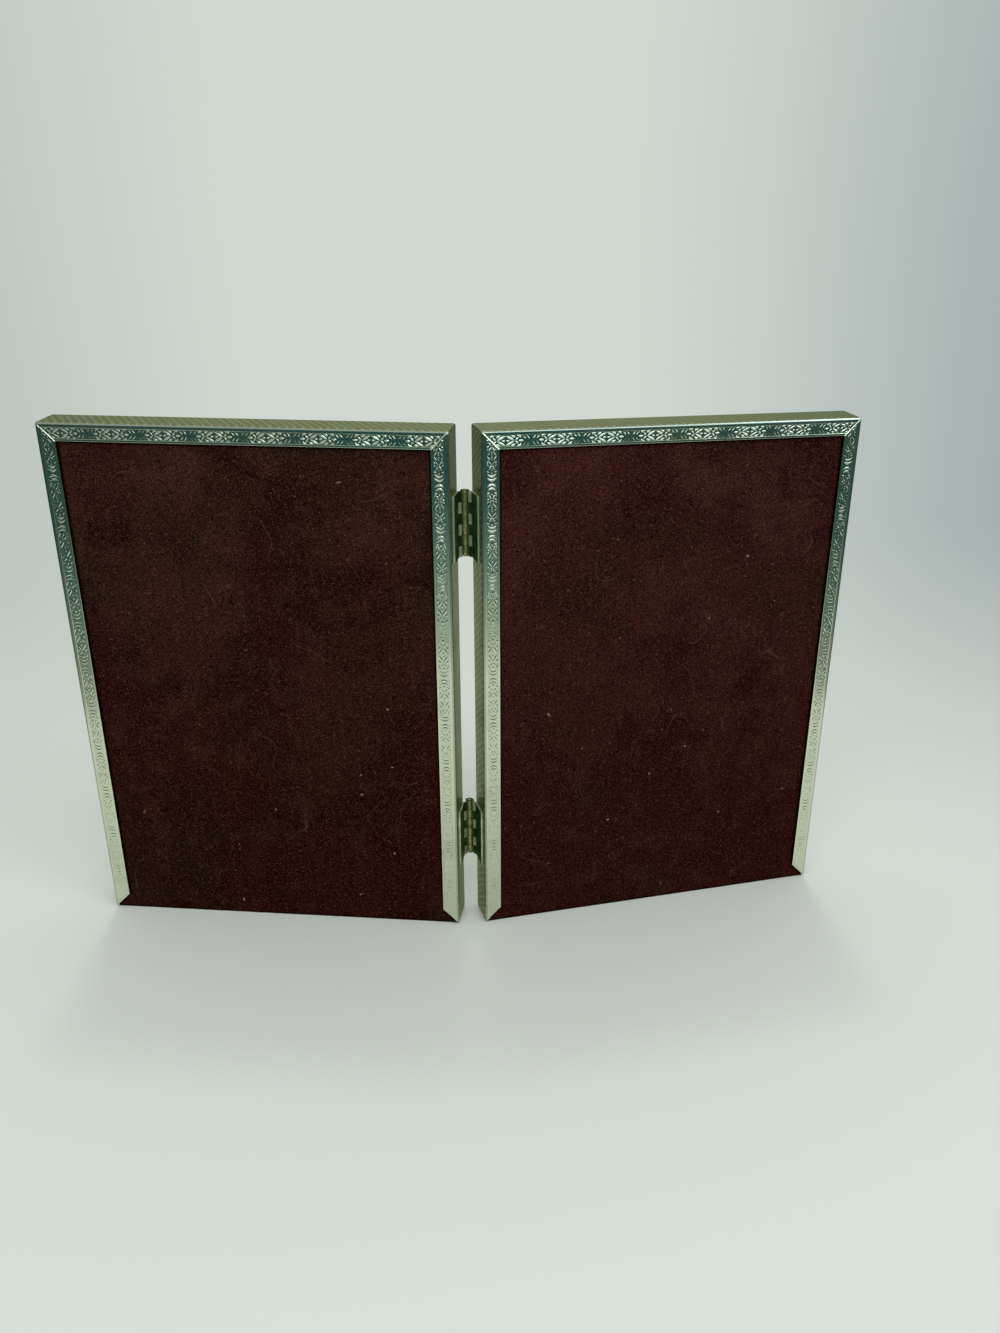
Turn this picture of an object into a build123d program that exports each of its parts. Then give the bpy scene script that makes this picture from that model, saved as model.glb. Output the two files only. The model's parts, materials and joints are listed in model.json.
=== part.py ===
from build123d import *
import os
from math import atan2, cos, radians, sin, tan

# A folding double photo frame that stands in a V. Two mitred metal channel frames turn about a
# pair of butt hinges, and a velvet-covered back slides out of each. All sizes are in millimetres.
# +Z is up, the backs face -Y, and the origin is on the floor at the middle of the footprint.

# Picture, glass and what lies behind them
picture_width = 127.0
picture_height = 177.8
glass_thickness = 2.0
print_thickness = 0.3
filler_thickness = 6.0
side_clearance = 1.35
head_clearance = 1.4

# Back that slides out downwards
board_thickness = 2.2
velvet_thickness = 0.7
slide_clearance = 0.3

# Roll-formed channel of the rails and stiles
sheet = 0.6
lip_width = 6.3
inner_bend = 0.2

# Bent keys inside the mitred corners
key_thickness = 0.8
key_leg = 14.0
key_bend = 0.4
key_setback = 1.2

# Butt hinges
opening_angle = 160.8
upper_hinge_inset = 32.4
lower_hinge_inset = 35.0
hinge_length = 22.0
knuckle_count = 6
knuckle_gap = 0.15
hinge_sheet = 0.7
pin_radius = 0.7
pin_overhang = 0.3
running_clearance = 0.05
curl_gap = 0.25
barrel_clearance = 0.9
slot_clearance = 0.3
joggle_run = 1.3
axis_ahead = 0.4
plate_setback = 3.1

# Hinge rivets
rivet_spacing = 11.0
shank_radius = 0.6
shank_clearance = 0.03

# Sizes that follow from the stack of pieces in the channel
picture_depth = sheet + glass_thickness + print_thickness + filler_thickness
board_front = picture_depth + slide_clearance
panel_thickness = board_thickness + velvet_thickness
leaf_depth = board_front + panel_thickness + slide_clearance + sheet
leaf_width = picture_width + 2 * (sheet + key_thickness + side_clearance)
leaf_height = picture_height + 2 * (sheet + key_thickness) + head_clearance
picture_foot = sheet + key_thickness
panel_width = leaf_width - 2 * (sheet + slide_clearance)
panel_height = leaf_height - sheet - slide_clearance
outer_bend = inner_bend + sheet

# Sizes that follow from the hinge pin
bore_radius = pin_radius + running_clearance
barrel_radius = bore_radius + hinge_sheet
axis_to_web = barrel_radius + barrel_clearance
plate_reach = leaf_depth - plate_setback
joggle_start = barrel_radius
joggle_end = joggle_start + joggle_run
rivet_depth = (joggle_end - axis_ahead + plate_reach) / 2

# Each leaf is turned back by half of what the opening lacks of a straight angle. The bends round
# the two corners that reach furthest to the front and back, and the hinge line is set so that the
# footprint is centred on the origin.
swing = radians((180 - opening_angle) / 2)
front_reach = (
    (axis_to_web + leaf_width - outer_bend) * sin(swing) - (axis_ahead + outer_bend) * cos(swing)
) + outer_bend
back_reach = (
    (axis_to_web + outer_bend) * sin(swing) - (axis_ahead + leaf_depth - outer_bend) * cos(swing)
) - outer_bend
hinge_y = -(front_reach + back_reach) / 2

# Directions and planes of the right leaf: outward from the hinge, up, and back to the velvet
outward = Vector(cos(swing), sin(swing), 0)
back = Vector(sin(swing), -cos(swing), 0)
up = Vector(0, 0, 1)
hinge_foot = Vector(0, hinge_y, 0)
leaf_corner = hinge_foot + outward * axis_to_web + back * axis_ahead
leaf = Plane(origin=leaf_corner, x_dir=outward, z_dir=back)
hinge_face = Plane(origin=leaf_corner, x_dir=back, z_dir=-outward)

# Each rail runs along its plane's x from one corner of the leaf to the next, with y inwards
far_corner = leaf_corner + outward * leaf_width
bottom_edge = Plane(origin=leaf_corner, x_dir=outward, z_dir=back)
outer_edge = Plane(origin=far_corner, x_dir=up, z_dir=back)
top_edge = Plane(origin=far_corner + up * leaf_height, x_dir=-outward, z_dir=back)
inner_edge = Plane(origin=leaf_corner + up * leaf_height, x_dir=-up, z_dir=back)

hinge_centres = {
    "upper": leaf_height - upper_hinge_inset,
    "lower": lower_hinge_inset,
}


def rivet_points(centre):
    """Where the rivets of one hinge lie on the web: depth from the front, and height."""
    half = rivet_spacing / 2
    return [(rivet_depth, centre - half), (rivet_depth, centre + half)]


all_rivet_points = [point for centre in hinge_centres.values() for point in rivet_points(centre)]


def section_plane(edge):
    """The plane across a rail, with x inwards from its outer face and y from front to back."""
    return Plane(origin=edge.origin, x_dir=edge.y_dir, z_dir=edge.x_dir)


def mitre(edge, length):
    """Cut both ends of the rail in the current part at 45 degrees to its edge of the leaf."""
    start = Plane(origin=edge.origin, x_dir=back, z_dir=edge.x_dir - edge.y_dir)
    end_corner = edge.origin + edge.x_dir * length
    end = Plane(origin=end_corner, x_dir=back, z_dir=-edge.x_dir - edge.y_dir)
    split(bisect_by=start, keep=Keep.TOP)
    split(bisect_by=end, keep=Keep.TOP)


def channel_rail(edge, length, rivet_holes=()):
    """A mitred length of channel: a web with a front lip and a back lip, their edges rolled."""
    lip_end = lip_width - sheet / 2
    back_inner = leaf_depth - sheet
    with BuildPart() as rail:
        with BuildSketch(section_plane(edge)):
            with BuildLine():
                FilletPolyline(
                    (lip_end, 0), (0, 0), (0, leaf_depth), (lip_end, leaf_depth), radius=outer_bend
                )
                ThreePointArc(
                    (lip_end, leaf_depth), (lip_width, leaf_depth - sheet / 2), (lip_end, back_inner)
                )
                FilletPolyline(
                    (lip_end, back_inner),
                    (sheet, back_inner),
                    (sheet, sheet),
                    (lip_end, sheet),
                    radius=inner_bend,
                )
                ThreePointArc((lip_end, sheet), (lip_width, sheet / 2), (lip_end, 0))
            make_face()
        extrude(amount=length)
        mitre(edge, length)
        if rivet_holes:
            with BuildSketch(hinge_face):
                with Locations(rivet_holes):
                    Circle(shank_radius + shank_clearance)
            extrude(amount=-sheet, mode=Mode.SUBTRACT)
    return rail


def angle_rail(edge, length):
    """A mitred length of angle: a front lip and a web that stops short of the sliding back."""
    lip_end = lip_width - sheet / 2
    with BuildPart() as rail:
        with BuildSketch(section_plane(edge)):
            with BuildLine():
                FilletPolyline((lip_end, 0), (0, 0), (0, picture_depth), radius=outer_bend)
                Line((0, picture_depth), (sheet, picture_depth))
                FilletPolyline(
                    (sheet, picture_depth), (sheet, sheet), (lip_end, sheet), radius=inner_bend
                )
                ThreePointArc((lip_end, sheet), (lip_width, sheet / 2), (lip_end, 0))
            make_face()
        extrude(amount=length)
        mitre(edge, length)
    return rail


def sheet_piece(width, height, foot, front, thickness):
    """A flat rectangular piece centred across the leaf, its foot and its front face given."""
    with BuildPart() as piece:
        with BuildSketch(leaf.offset(front)):
            with Locations((leaf_width / 2, foot + height / 2)):
                Rectangle(width, height)
        extrude(amount=thickness)
    return piece


def corner_keys():
    """Four bent strips, one against the inner faces of the two webs at each corner."""
    inside = sheet + key_thickness
    tip = sheet + key_leg
    with BuildPart() as keys:
        for edge in (bottom_edge, outer_edge, top_edge, inner_edge):
            with BuildSketch(edge.offset(sheet + key_setback)):
                with BuildLine():
                    FilletPolyline(
                        (tip, sheet), (sheet, sheet), (sheet, tip), radius=key_bend + key_thickness
                    )
                    Line((sheet, tip), (inside, tip))
                    FilletPolyline((inside, tip), (inside, inside), (tip, inside), radius=key_bend)
                    Line((tip, inside), (tip, sheet))
                make_face()
            extrude(amount=picture_depth - sheet - 2 * key_setback)
    return keys


def hinge_leaf(centre, first_knuckle):
    """The right leaf of a hinge: a plate on the web, cranked and rolled to a barrel of knuckles.

    Knuckles are counted from the top. This leaf keeps the first one named and every second one.
    """
    foot = hinge_foot + up * (centre - hinge_length / 2)
    base = Plane(origin=foot, x_dir=outward, z_dir=up)
    plate_face = axis_to_web - hinge_sheet
    plate_end = axis_ahead + plate_reach
    # The crank keeps the sheet's thickness: its two sides turn on the bisectors of the bends
    turn = atan2(barrel_clearance, joggle_run)
    shift = hinge_sheet * tan(turn / 2)
    pitch = hinge_length / knuckle_count
    with BuildPart() as hinge:
        with BuildSketch(base):
            Circle(barrel_radius)
            Circle(bore_radius, mode=Mode.SUBTRACT)
            # The rolled sheet ends short of the root that it leaves from
            with Locations((bore_radius - curl_gap, 0)):
                Rectangle(
                    barrel_radius, barrel_radius, align=(Align.MIN, Align.MAX), mode=Mode.SUBTRACT
                )
            with BuildLine():
                Polyline(
                    (bore_radius, 0),
                    (bore_radius, -joggle_start - shift),
                    (plate_face, -joggle_end - shift),
                    (plate_face, -plate_end),
                    (axis_to_web, -plate_end),
                    (axis_to_web, -joggle_end),
                    (barrel_radius, -joggle_start),
                    (barrel_radius, 0),
                    close=True,
                )
            make_face()
        extrude(amount=hinge_length)
        for knuckle in range(1, knuckle_count + 1):
            if (knuckle - first_knuckle) % 2 == 0:
                continue
            slot_foot = hinge_length - knuckle * pitch - knuckle_gap / 2
            with BuildSketch(base.offset(slot_foot)):
                Rectangle(2 * axis_to_web, 2 * (barrel_radius + slot_clearance))
            extrude(amount=pitch + knuckle_gap, mode=Mode.SUBTRACT)
        with BuildSketch(hinge_face):
            with Locations(rivet_points(centre)):
                Circle(shank_radius + shank_clearance)
        extrude(amount=hinge_sheet, mode=Mode.SUBTRACT)
    return hinge


def hinge_pin(centre):
    """A pin with bevelled ends that runs through all the knuckles of one hinge."""
    foot = hinge_foot + up * (centre - hinge_length / 2 - pin_overhang)
    with BuildPart() as pin:
        with BuildSketch(Plane(origin=foot, z_dir=up)):
            Circle(pin_radius)
        extrude(amount=hinge_length + 2 * pin_overhang)
        chamfer(pin.edges().filter_by(GeomType.CIRCLE), length=min(pin_overhang, pin_radius / 2))
    return pin


def hinge_rivets():
    """Rivets through the hinge plates and the web of the inner stile, peened flush with both."""
    with BuildPart() as rivets:
        with BuildSketch(hinge_face.offset(-sheet)):
            with Locations(all_rivet_points):
                Circle(shank_radius)
        extrude(amount=sheet + hinge_sheet)
    return rivets


def write(name, piece):
    """Label one finished piece and write it."""
    piece.part.label = name
    export_step(piece.part, f"parts/{name}.step")


def mirrored(piece):
    """The left leaf's copy of a piece that was made for the right leaf."""
    with BuildPart() as copy:
        mirror(piece.part, about=Plane.YZ)
    return copy


def write_pair(name, piece):
    """Write a piece of the right leaf and its mirror image on the left leaf."""
    write(f"right_{name}", piece)
    write(f"left_{name}", mirrored(piece))


os.makedirs("parts", exist_ok=True)

print_front = sheet + glass_thickness
filler_front = print_front + print_thickness
velvet_front = board_front + board_thickness

write_pair("top_rail", channel_rail(top_edge, leaf_width))
write_pair("outer_stile", channel_rail(outer_edge, leaf_height))
write_pair("inner_stile", channel_rail(inner_edge, leaf_height, rivet_holes=all_rivet_points))
write_pair("bottom_rail", angle_rail(bottom_edge, leaf_width))
write_pair("corner_keys", corner_keys())
write_pair("glass", sheet_piece(picture_width, picture_height, picture_foot, sheet, glass_thickness))
write_pair(
    "photo_print",
    sheet_piece(picture_width, picture_height, picture_foot, print_front, print_thickness),
)
write_pair(
    "filler_board",
    sheet_piece(picture_width, picture_height, picture_foot, filler_front, filler_thickness),
)
write_pair("back_board", sheet_piece(panel_width, panel_height, 0, board_front, board_thickness))
write_pair("back_velvet", sheet_piece(panel_width, panel_height, 0, velvet_front, velvet_thickness))
write_pair("hinge_rivets", hinge_rivets())

for place, centre in hinge_centres.items():
    write(f"{place}_hinge_right_leaf", hinge_leaf(centre, first_knuckle=1))
    write(f"{place}_hinge_left_leaf", mirrored(hinge_leaf(centre, first_knuckle=2)))
    write(f"{place}_hinge_pin", hinge_pin(centre))
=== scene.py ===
# %% [markdown]
# # Dressing a folding double photo frame
# Two mitred metal leaves stand in a V on two small hinges, and a velvet-covered back slides into
# each. The solids come from the CAD model at their real size and stay where they are. This lesson
# gives them what the eye looks for: the moulded strip with its embossed border, hatched edges,
# tarnished hinges, worn velvet, and the light that makes metal look like metal.

import json
from math import cos, pi, radians, sin

import bmesh
import bpy
from mathutils import Matrix, Vector, noise


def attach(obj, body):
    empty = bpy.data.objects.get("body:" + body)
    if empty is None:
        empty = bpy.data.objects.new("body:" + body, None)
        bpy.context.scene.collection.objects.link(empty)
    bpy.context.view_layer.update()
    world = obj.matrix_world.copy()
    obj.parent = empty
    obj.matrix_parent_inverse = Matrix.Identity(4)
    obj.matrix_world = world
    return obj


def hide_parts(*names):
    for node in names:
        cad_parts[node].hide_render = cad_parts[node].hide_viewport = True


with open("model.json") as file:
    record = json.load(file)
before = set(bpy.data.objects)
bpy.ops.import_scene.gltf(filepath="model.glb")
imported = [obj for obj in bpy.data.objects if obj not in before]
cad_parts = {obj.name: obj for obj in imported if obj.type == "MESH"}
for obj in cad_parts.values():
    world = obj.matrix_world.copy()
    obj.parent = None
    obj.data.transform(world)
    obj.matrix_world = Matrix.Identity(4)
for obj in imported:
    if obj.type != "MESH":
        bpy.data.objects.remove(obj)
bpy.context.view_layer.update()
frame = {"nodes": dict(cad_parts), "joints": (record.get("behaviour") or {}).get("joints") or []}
MM = 0.001


def add_object(name, data):
    """A new object in the scene."""
    made = bpy.data.objects.new(name, data)
    bpy.context.scene.collection.objects.link(made)
    return made


# %% [markdown]
# ## Leaf coordinates
# Each leaf is turned by half of what the opening lacks of a straight angle, so nothing on it is
# square to the world. Modelling is easier in the leaf's own directions: x outward from the hinge,
# y up, and z from the pictures back to the velvet. A matrix then carries a finished mesh to its
# place. On the left leaf that matrix is a mirror, so its faces are turned round again.

# %% Find the two leaves in the frame
hinge = next(joint for joint in frame["joints"] if joint["name"] == "leaf_hinge")
hinge_foot = Vector((hinge["pos_m"][0], hinge["pos_m"][1], 0))
swing = radians(180 - hinge["range_deg"][1]) / 2


class Leaf:
    """One leaf of the frame, with the matrix from its own directions to the world."""

    def __init__(self, side, sign):
        self.side = side
        self.body = f"{side}_frame"
        self.hand = -sign
        outward = Vector((sign * cos(swing), sin(swing), 0))
        back = Vector((sign * sin(swing), -cos(swing), 0))
        axes = Matrix((outward, Vector((0, 0, 1)), back)).transposed().to_4x4()
        self.matrix = Matrix.Translation(hinge_foot) @ axes
        corner = self.span("inner_stile")[0]
        self.matrix = self.matrix @ Matrix.Translation(corner)

    def span(self, node):
        """The lowest and highest corner of one of its CAD nodes, in the leaf's directions."""
        inverse = self.matrix.inverted()
        points = [inverse @ v.co for v in frame["nodes"][f"{self.side}_{node}"].data.vertices]
        low = Vector([min(p[i] for p in points) for i in range(3)])
        high = Vector([max(p[i] for p in points) for i in range(3)])
        return low, high

    def place(self, shape):
        """Carry a bmesh from the leaf's directions to the world, with its faces outward."""
        shape.transform(self.matrix)
        if self.matrix.determinant() < 0:
            bmesh.ops.reverse_faces(shape, faces=shape.faces)


leaves = [Leaf("left", -1), Leaf("right", 1)]
lip_width, leaf_height, leaf_depth = leaves[1].span("inner_stile")[1]
leaf_width = leaves[1].span("outer_stile")[1].x
angle_depth = leaves[1].span("bottom_rail")[1].z
print("leaf in mm:", [round(v / MM, 2) for v in (leaf_width, leaf_height, leaf_depth)])

# %% [markdown]
# ## Camera
# The view is from behind, a little left of the hinge, and looks down on the two backs. The place
# and the lens were worked out from the corners of the leaves, whose real size is known.

# %% Set up the camera
camera_place = Vector((-11.6, -358.75, 239.18)) * MM
look_down = radians(23.711)
look_right = radians(5.715)
roll = radians(0.62)

camera_data = bpy.data.cameras.new("camera")
camera_data.sensor_fit = "AUTO"
camera_data.sensor_width = 36
camera_data.lens = 29.425
camera_data.shift_x = -0.02616
camera_data.shift_y = 0.02951
camera_data.clip_start = 0.01
camera = add_object("camera", camera_data)
camera.location = camera_place
pitched = Matrix.Rotation(radians(90) - look_down, 3, "X")
turned = Matrix.Rotation(-look_right, 3, "Z")
rolled = Matrix.Rotation(roll, 3, "Z")
camera.rotation_euler = (turned @ pitched @ rolled).to_euler()
bpy.context.scene.camera = camera
bpy.context.scene.view_settings.view_transform = "Standard"
print("camera at", [round(v, 3) for v in camera.location])

# %% [markdown]
# ## Wires
# A material is a graph of nodes, and long graphs are hard to read as code. A small class wraps one
# output socket and overloads arithmetic, so that `1 - mask` adds its own Math node. A second class
# adds any other node from its type, its settings, and the values or wires of its sockets. A third
# is the graph of a new material.

# %% Write node graphs as expressions
class Wire:
    """One output socket. Arithmetic on wires adds the Math nodes that work it out."""

    def __init__(self, graph, socket):
        self.graph = graph
        self.socket = socket

    def __add__(self, other):
        return self.graph.math("ADD", self, other)

    def __sub__(self, other):
        return self.graph.math("SUBTRACT", self, other)

    def __rsub__(self, other):
        return self.graph.math("SUBTRACT", other, self)

    def __mul__(self, other):
        return self.graph.math("MULTIPLY", self, other)

    __radd__ = __add__
    __rmul__ = __mul__


class Graph:
    """The nodes of a material, a world or a Geometry Nodes tree."""

    def __init__(self, tree):
        self.tree = tree
        tree.nodes.clear()

    def node(self, kind, settings=None, sockets=None, out=0):
        """Add a node: its settings first, then the values or wires of its sockets."""
        made = self.tree.nodes.new(kind)
        for name, value in (settings or {}).items():
            setattr(made, name, value)
        for key, value in (sockets or {}).items():
            if isinstance(value, Wire):
                self.tree.links.new(value.socket, made.inputs[key])
            else:
                made.inputs[key].default_value = value
        return Wire(self, made.outputs[out]) if len(made.outputs) else None

    def math(self, operation, *values):
        return self.node("ShaderNodeMath", {"operation": operation}, dict(enumerate(values)))

    def step(self, value, low, high):
        """A smooth step from 0 at low to 1 at high."""
        sockets = {"Value": value, "From Min": low, "From Max": high}
        return self.node("ShaderNodeMapRange", {"interpolation_type": "SMOOTHSTEP"}, sockets)

    def mix(self, factor, first, second):
        """Two colours mixed. On a Mix node they are the inputs 6 and 7, and the output 2."""
        sockets = {0: factor, 6: first, 7: second}
        return self.node("ShaderNodeMix", {"data_type": "RGBA"}, sockets, out=2)

    def place(self):
        """The object's own coordinates."""
        return self.node("ShaderNodeTexCoord", out="Object")

    def part(self, vector, axis):
        """The X, Y or Z of a vector."""
        return self.node("ShaderNodeSeparateXYZ", None, {"Vector": vector}, out=axis)

    def noise(self, place, scale, detail=2.0, roughness=0.5):
        sockets = {"Vector": place, "Scale": scale, "Detail": detail, "Roughness": roughness}
        return self.node("ShaderNodeTexNoise", None, sockets, out="Fac")

    def stretch(self, place, scale, turn=0.0, shift=(0, 0, 0)):
        """Coordinates turned about z, then scaled and shifted, so that a pattern is drawn out."""
        turned = self.node("ShaderNodeMapping", None, {"Vector": place, "Rotation": (0, 0, turn)})
        sockets = {"Vector": turned, "Scale": scale, "Location": shift}
        return self.node("ShaderNodeMapping", None, sockets)

    def bump(self, height, distance, strength):
        sockets = {"Height": height, "Distance": distance, "Strength": strength}
        return self.node("ShaderNodeBump", None, sockets)


class Finish(Graph):
    """The graph of a new material."""

    def __init__(self, name):
        self.material = bpy.data.materials.new(name)
        self.material.use_nodes = True
        super().__init__(self.material.node_tree)

    def show(self, shader):
        """The material, which shows this shader."""
        self.node("ShaderNodeOutputMaterial", None, {"Surface": shader})
        return self.material

    def coat(self, sockets):
        """The material, which shows a Principled shader with these values or wires."""
        return self.show(self.node("ShaderNodeBsdfPrincipled", None, sockets))


def srgb(red, green, blue):
    """A colour as it shows on a screen, 0 to 255, in the linear values that sockets take."""
    def linear(value):
        share = value / 255
        return share / 12.92 if share <= 0.04045 else ((share + 0.055) / 1.055) ** 2.4
    return (linear(red), linear(green), linear(blue), 1.0)

# %% [markdown]
# ## Stage
# Polished metal has no look of its own: it shows the room. Here it stands on a pale floor under a
# soft sky, with a sun behind that throws the shadow forward and a lamp in front for the velvet. A
# ring of card glows with painted colours that the metal reflects, dark above and pale at its foot
# and in two places behind. It keeps the metal from washing out, and three bright panels put the
# glints on its ridges. Only reflections see the card and the panels, as if a photographer had set
# them up outside the picture. The floor fades to the colour of the background far away, so that no
# horizon shows.

# %% Lay the floor
backdrop = srgb(208, 216, 208)
backdrop_left = srgb(187, 195, 190)
backdrop_right = srgb(160, 171, 172)
floor_colour = srgb(211, 216, 210)
floor_reach = 40.0
room_middle = (0, -0.36, 0)
floor_fade = (0.27, 1.10)
right_fade = (0.14, 0.56)
left_fade = (-0.12, -0.42)


def backdrop_colour(graph, place):
    """The background, which darkens to both sides and most to the right: painted shade."""
    direction = graph.node("ShaderNodeVectorMath", {"operation": "NORMALIZE"}, {0: place})
    side = graph.part(direction, "X")
    colour = graph.mix(graph.step(side, *right_fade), backdrop, backdrop_right)
    return graph.mix(graph.step(side, *left_fade), colour, backdrop_left)


def ray_is(graph, first, *others):
    """1 for a ray of any of these kinds, which are outputs of Light Path."""
    found = graph.node("ShaderNodeLightPath", out=first)
    for kind in others:
        found = graph.math("MAXIMUM", found, graph.node("ShaderNodeLightPath", out=kind))
    return found


def background_seen(graph):
    """1 for the rays that show the background: from the camera, off metal, through glass."""
    return ray_is(graph, "Is Camera Ray", "Is Glossy Ray", "Is Transmission Ray")


def floor_finish():
    """A matt floor that turns into the background with distance."""
    graph = Finish("pale_floor")
    own = graph.place()
    place = graph.node("ShaderNodeVectorMath", {"operation": "SUBTRACT"}, {0: own, 1: room_middle})
    distance = graph.node("ShaderNodeVectorMath", {"operation": "LENGTH"}, {0: place}, out="Value")
    matt = graph.node("ShaderNodeBsdfDiffuse", None, {"Color": floor_colour})
    far = graph.node("ShaderNodeEmission", None, {"Color": backdrop_colour(graph, place)})
    fade = background_seen(graph) * graph.step(distance, *floor_fade)
    return graph.show(graph.node("ShaderNodeMixShader", None, {0: fade, 1: matt, 2: far}))


def stage_mesh(name, points, faces, material):
    """A piece of the stage, which isn't part of the object."""
    mesh = bpy.data.meshes.new(name)
    mesh.from_pydata(points, [], faces)
    mesh.materials.append(material)
    prop = add_object(name, mesh)
    return prop


signs = ((-1, -1), (1, -1), (1, 1), (-1, 1))
floor_corners = [(x * floor_reach, y * floor_reach, 0) for x, y in signs]
stage_mesh("floor", floor_corners, [(0, 1, 2, 3)], floor_finish())
print("floor laid,", 2 * floor_reach, "m wide")

# %% Stand the ring of glowing card round the frame
card_radius = 0.30
card_height = 0.22
card_lift = 0.07
card_steps = 48
card_low = (0.48, 0.54, 0.48, 1)
card_middle = (0.14, 0.245, 0.222, 1)
card_high = (0.010, 0.065, 0.072, 1)
card_end = (0.05, 0.07, 0.06, 1)
card_rear = (0.62, 0.64, 0.54, 1)
# Where each colour begins and where it is complete: heights, then shares of the radius
middle_from = (-0.01, 0.06)
high_from = (0.045, 0.105)
rear_below = (0.17, 0.13)
end_from = (0.35, 0.75)
rear_from = (0.5, 0.9)
pale_from = (0.20, 0.32)
pale_to = (0.56, 0.44)
end_strength = 0.45
rear_strength = 0.8


def card_finish():
    """Painted glow, pale at its foot and dark above, with two pale places behind for the inner
    webs.
    """
    graph = Finish("dark_card")
    place = graph.place()
    height = graph.part(place, "Z")
    aside = graph.math("ABSOLUTE", graph.part(place, "X")) * (1 / card_radius)
    behind = graph.part(place, "Y") * (1 / card_radius)
    colour = graph.mix(graph.step(height, *middle_from), card_low, card_middle)
    colour = graph.mix(graph.step(height, *high_from), colour, card_high)
    colour = graph.mix(graph.step(aside, *end_from) * end_strength, colour, card_end)
    pale = graph.step(aside, *pale_from) * graph.step(aside, *pale_to)
    pale = pale * graph.step(behind, *rear_from) * graph.step(height, *rear_below)
    colour = graph.mix(pale * rear_strength, colour, card_rear)
    # The card is no lamp, yet it gives off these painted colours as light for the metal to reflect.
    return graph.show(graph.node("ShaderNodeEmission", None, {"Color": colour}))


turns = [2 * pi * i / card_steps for i in range(card_steps)]
ring = [(card_radius * sin(turn), -card_radius * cos(turn)) for turn in turns]
foot = [(x, y, card_lift * max(0, y / card_radius)) for x, y in ring]
head = [(x, y, card_height) for x, y in ring]
following = [*range(1, card_steps), 0]
panels = [(i, j, card_steps + j, card_steps + i) for i, j in enumerate(following)]
card = stage_mesh("dark_card", foot + head, panels, card_finish())
card.visible_camera = False
card.visible_diffuse = False
card.visible_transmission = False
card.visible_shadow = False
print("card ring of", card_steps, "panels")

# %% Hang the lights
lamp_target = Vector((0, 0, 0.1))
back_elevation = radians(66)
back_distance = 2.0
daylight = (0.86, 0.98, 1.05)


def add_light(name, data, place):
    """A lamp that points at the middle of the frame."""
    lamp = add_object(name, data)
    lamp.location = place
    lamp.rotation_euler = (Vector(place) - lamp_target).to_track_quat("Z", "Y").to_euler()
    return lamp


def add_panel(name, size, energy, place):
    """A wide, flat lamp."""
    panel = bpy.data.lights.new(name, "AREA")
    panel.shape = "RECTANGLE"
    panel.size, panel.size_y = size
    panel.energy = energy
    return add_light(name, panel, place)


def add_reflector(name, size, strength, place):
    """A bright panel that only metal and glass see."""
    lamp = add_panel(name, size, strength * pi * size[0] * size[1], place)
    lamp.data.color = daylight
    lamp.visible_diffuse = False
    return lamp


back_light = bpy.data.lights.new("back_light", "SUN")
back_light.energy = 0.36
back_light.angle = radians(8)
back_direction = Vector((0, cos(back_elevation), sin(back_elevation)))
sun = add_light("back_light", back_light, lamp_target + back_distance * back_direction)
sun.visible_glossy = False
front_lamp = add_panel("front_light", (1.1, 0.35), 4.4, (0.12, -0.50, 0.88))
front_lamp.visible_glossy = False
reflectors = [
    add_reflector("window_reflector", (0.9, 0.8), 1.25, (0.72, -0.74, 0.66)),
    add_reflector("middle_reflector", (0.40, 0.36), 1.8, (0.03, -0.78, 0.56)),
    add_reflector("side_reflector", (0.6, 0.6), 3.0, (0.75, -0.15, 0.72)),
]
print("lights:", ", ".join(lamp.name for lamp in (sun, front_lamp, *reflectors)))

# %% Light the room
sky_low = (0.52, 0.55, 0.535, 1)
sky_high = (0.69, 0.71, 0.69, 1)


def build_world():
    """A soft sky for light, and the background for the rays that show it."""
    world = bpy.data.worlds.new("soft_room")
    world.use_nodes = True
    graph = Graph(world.node_tree)
    place = graph.node("ShaderNodeTexCoord", out="Generated")
    sky = graph.mix(graph.step(graph.part(place, "Z"), 0.0, 1.0), sky_low, sky_high)
    light = graph.node("ShaderNodeBackground", None, {"Color": sky})
    shown = graph.node("ShaderNodeBackground", None, {"Color": backdrop_colour(graph, place)})
    sockets = {0: background_seen(graph), 1: light, 2: shown}
    mixed = graph.node("ShaderNodeMixShader", None, sockets)
    graph.node("ShaderNodeOutputWorld", None, {"Surface": mixed})
    return world


bpy.context.scene.world = build_world()
print("room:", bpy.context.scene.world.name)

# %% [markdown]
# ## Metal of the strip
# The strip is thin plated sheet, pale gold with a little green in it, and its areas differ. The
# smooth lip and the rims are bright. The sunk ground of the border is a little darker, as painted
# shade in its recess, and the bend is darker and duller, as painted shade that dims its highlight.
# The outer edges are hatched with fine slanted lines. All share one function. The lines follow the
# strip's own UV map, in millimetres, so that they slant alike on every side. A piece without that
# map gets an even finish.

# %% Finish the strip
champagne = (0.73, 0.76, 0.58, 1)
tarnish = (0.50, 0.53, 0.37, 1)
grime = (0.16, 0.17, 0.11, 1)
hatch_pitch = 2.2
hatch_slant = radians(34)
hatch_glint = (0.60, 0.60, 0.40, 1)
# The Wave texture's scale that puts one wave in each unit
one_wave = 0.3142


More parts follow.
